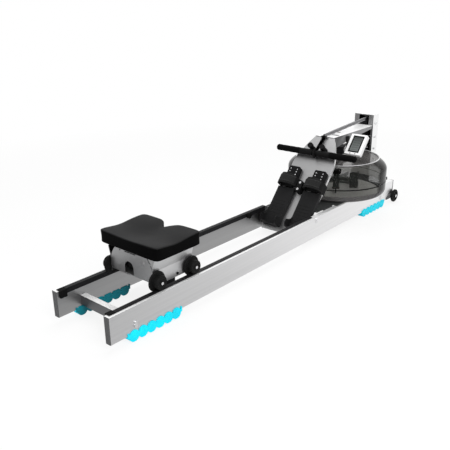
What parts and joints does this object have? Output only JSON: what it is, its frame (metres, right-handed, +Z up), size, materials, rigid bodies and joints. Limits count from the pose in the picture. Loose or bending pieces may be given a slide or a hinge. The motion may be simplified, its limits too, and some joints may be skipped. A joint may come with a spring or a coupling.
{
  "type": "water rowing machine",
  "caption": "Rowing machine with a sliding seat on two rails, an inclined footboard with straps, and a handle on a strap that turns an impeller in a round water tank.",
  "frame": {"origin": "centre of the footprint on the floor", "axes": "+X along the rails towards the tank, +Y to the rower's left, +Z up"},
  "size_m": [2.104, 0.5232, 0.506],
  "materials": {
    "brushed_steel": "satin brushed stainless steel",
    "rail_alloy": "satin brushed aluminium extrusion",
    "cap_grey": "fine-grained dark grey plastic",
    "track_black": "smooth black plastic",
    "stop_rubber": "matt black rubber",
    "tray_black": "black powder coat",
    "steel_bolts": "bright zinc-plated steel",
    "foot_cyan": "bright cyan moulded rubber",
    "footrest_black": "textured black nylon",
    "strap_black": "black woven webbing",
    "handle_rubber": "soft black foam rubber",
    "handle_tube": "black coated steel tube",
    "tank_smoke": "dark smoked clear plastic",
    "band_black": "black coated steel band",
    "water": "clear water",
    "bush_bronze": "sintered bronze",
    "cord_black": "black sheathed cord",
    "wheel_black": "hard black moulded rubber",
    "link_black": "black nylon",
    "webbing_grey": "grey woven webbing",
    "pulley_black": "black nylon",
    "monitor_white": "white semi-gloss plastic",
    "lcd_grey": "grey liquid crystal glass",
    "button_grey": "grey silicone",
    "cushion_black": "black textured vinyl over foam",
    "sheet_alloy": "satin folded sheet"
  },
  "bodies": {
    "frame": {"rail_left": "rail_alloy", "rail_right": "rail_alloy", "rail_end_caps": "cap_grey", "track_left": "track_black", "track_right": "track_black", "seat_stops": "stop_rubber", "rear_crossmember": "brushed_steel", "front_crossmember": "brushed_steel", "tank_tray": "tray_black", "frame_bolts": "steel_bolts", "feet_rear": "foot_cyan", "feet_front": "foot_cyan", "footboard": "brushed_steel", "footrest_left": "footrest_black", "footrest_right": "footrest_black", "toe_strap_left": "strap_black", "toe_strap_right": "strap_black", "footrest_screws": "steel_bolts", "top_deck": "brushed_steel", "riser": "brushed_steel", "handle_pegs": "handle_rubber", "tank_base": "tank_smoke", "tank_lid": "tank_smoke", "tank_gasket": "stop_rubber", "tank_band": "band_black", "water": "water", "axle_bolts": "steel_bolts", "impeller_bearings": "bush_bronze", "monitor_bracket": "tray_black", "sensor_cable": "cord_black", "bungee_cord": "cord_black", "drive_strap": "webbing_grey"},
    "transport_wheel_left": {"transport_wheel_left": "wheel_black"},
    "transport_wheel_right": {"transport_wheel_right": "wheel_black"},
    "heel_left": {"heel_rest_left": "footrest_black"},
    "heel_right": {"heel_rest_right": "footrest_black"},
    "strap_end": {"strap_link": "link_black"},
    "handle": {"handle_bar": "handle_tube", "handle_grips": "handle_rubber", "strap_leader": "strap_black"},
    "strap_pulley": {"strap_pulley": "pulley_black"},
    "turn_pulley": {"turn_pulley": "pulley_black"},
    "cord_pulley_upper": {"bungee_pulley_upper": "pulley_black"},
    "cord_pulley_lower": {"bungee_pulley_lower": "pulley_black"},
    "clutch_drum": {"clutch_drum": "pulley_black"},
    "impeller": {"impeller": "pulley_black", "impeller_shaft": "steel_bolts"},
    "monitor": {"monitor_housing": "monitor_white", "monitor_screen": "lcd_grey"},
    "button_left": {"button_left": "button_grey"},
    "button_right": {"button_right": "button_grey"},
    "fill_plug": {"fill_plug": "pulley_black"},
    "seat": {"seat_cushion": "cushion_black", "seat_carriage": "sheet_alloy", "seat_keepers": "link_black", "seat_axle_bolts": "steel_bolts"},
    "wheel_rear_left": {"seat_wheel_rear_left": "wheel_black"},
    "wheel_rear_right": {"seat_wheel_rear_right": "wheel_black"},
    "wheel_front_left": {"seat_wheel_front_left": "wheel_black"},
    "wheel_front_right": {"seat_wheel_front_right": "wheel_black"}
  },
  "joints": [
    {"name": "seat_slide", "type": "slide", "parent": "frame", "child": "seat", "axis": [1, 0, 0], "range_m": [-0.17, 0.62]},
    {"name": "handle_pull", "type": "slide", "parent": "frame", "child": "strap_end", "axis": [-0.9982, 0, 0.0599], "range_m": [0, 1.2], "stiffness_N_per_m": 30, "springref_m": -0.5, "deforming": ["drive_strap"]},
    {"name": "handle_turn", "type": "hinge", "parent": "strap_end", "child": "handle", "pos_m": [0.4911, 0, 0.44547], "axis": [0, 1, 0], "range_deg": [-1, 57]},
    {"name": "drum_spin", "type": "hinge", "parent": "frame", "child": "clutch_drum", "pos_m": [0.639, 0, 0.3576], "axis": [0, 0, 1], "range_deg": [-2054, 1]},
    {"name": "strap_pulley_spin", "type": "hinge", "parent": "frame", "child": "strap_pulley", "pos_m": [0.939, 0, 0.45599], "axis": [0, 1, 0], "range_deg": [-2940, 1]},
    {"name": "turn_pulley_spin", "type": "hinge", "parent": "frame", "child": "turn_pulley", "pos_m": [0.939, 0, 0.381], "axis": [0, 1, 0], "range_deg": [-2940, 1]},
    {"name": "cord_pulley_upper_spin", "type": "hinge", "parent": "frame", "child": "cord_pulley_upper", "pos_m": [0.939, -0.036, 0.3147], "axis": [0, 1, 0], "range_deg": [-1479, 1]},
    {"name": "cord_pulley_lower_spin", "type": "hinge", "parent": "frame", "child": "cord_pulley_lower", "pos_m": [0.939, -0.036, 0.1204], "axis": [0, 1, 0], "range_deg": [-1028, 1]},
    {"name": "impeller_spin", "type": "hinge", "parent": "frame", "child": "impeller", "pos_m": [0.639, 0, 0.209], "axis": [0, 0, 1], "continuous": true},
    {"name": "transport_wheel_left_spin", "type": "hinge", "parent": "frame", "child": "transport_wheel_left", "pos_m": [1.016, 0.171, 0.039], "axis": [0, 1, 0], "continuous": true},
    {"name": "transport_wheel_right_spin", "type": "hinge", "parent": "frame", "child": "transport_wheel_right", "pos_m": [1.016, -0.171, 0.039], "axis": [0, 1, 0], "continuous": true},
    {"name": "heel_left_slide", "type": "slide", "parent": "frame", "child": "heel_left", "axis": [0.6561, 0, 0.7547], "range_m": [0, 0.06]},
    {"name": "heel_right_slide", "type": "slide", "parent": "frame", "child": "heel_right", "axis": [0.6561, 0, 0.7547], "range_m": [0, 0.06]},
    {"name": "monitor_tilt", "type": "hinge", "parent": "frame", "child": "monitor", "pos_m": [0.63905, -0.118, 0.38114], "axis": [0, 1, 0], "range_deg": [-18, 20]},
    {"name": "button_left_press", "type": "slide", "parent": "monitor", "child": "button_left", "axis": [0.766, 0, -0.6428], "range_m": [0, 0.0008], "stiffness_N_per_m": 400, "springref_m": -0.001},
    {"name": "button_right_press", "type": "slide", "parent": "monitor", "child": "button_right", "axis": [0.766, 0, -0.6428], "range_m": [0, 0.0008], "stiffness_N_per_m": 400, "springref_m": -0.001},
    {"name": "fill_plug_lift", "type": "slide", "parent": "frame", "child": "fill_plug", "axis": [0, 0, 1], "range_m": [0, 0.03]},
    {"name": "wheel_rear_left_roll", "type": "hinge", "parent": "seat", "child": "wheel_rear_left", "pos_m": [-0.802, 0.138, 0.1599], "axis": [0, 1, 0], "range_deg": [-376, 1368]},
    {"name": "wheel_rear_right_roll", "type": "hinge", "parent": "seat", "child": "wheel_rear_right", "pos_m": [-0.802, -0.138, 0.1599], "axis": [0, 1, 0], "range_deg": [-376, 1368]},
    {"name": "wheel_front_left_roll", "type": "hinge", "parent": "seat", "child": "wheel_front_left", "pos_m": [-0.626, 0.138, 0.1599], "axis": [0, 1, 0], "range_deg": [-376, 1368]},
    {"name": "wheel_front_right_roll", "type": "hinge", "parent": "seat", "child": "wheel_front_right", "pos_m": [-0.626, -0.138, 0.1599], "axis": [0, 1, 0], "range_deg": [-376, 1368]}
  ],
  "couplings": [
    {"joint": "handle_turn", "follows": "handle_pull", "rad_per_m": 0.8},
    {"joint": "drum_spin", "follows": "handle_pull", "rad_per_m": -29.851},
    {"joint": "strap_pulley_spin", "follows": "handle_pull", "rad_per_m": -42.735},
    {"joint": "turn_pulley_spin", "follows": "handle_pull", "rad_per_m": -42.735},
    {"joint": "cord_pulley_upper_spin", "follows": "handle_pull", "rad_per_m": -21.493},
    {"joint": "cord_pulley_lower_spin", "follows": "handle_pull", "rad_per_m": -14.925},
    {"joint": "wheel_rear_left_roll", "follows": "seat_slide", "rad_per_m": 38.462},
    {"joint": "wheel_rear_right_roll", "follows": "seat_slide", "rad_per_m": 38.462},
    {"joint": "wheel_front_left_roll", "follows": "seat_slide", "rad_per_m": 38.462},
    {"joint": "wheel_front_right_roll", "follows": "seat_slide", "rad_per_m": 38.462}
  ]
}
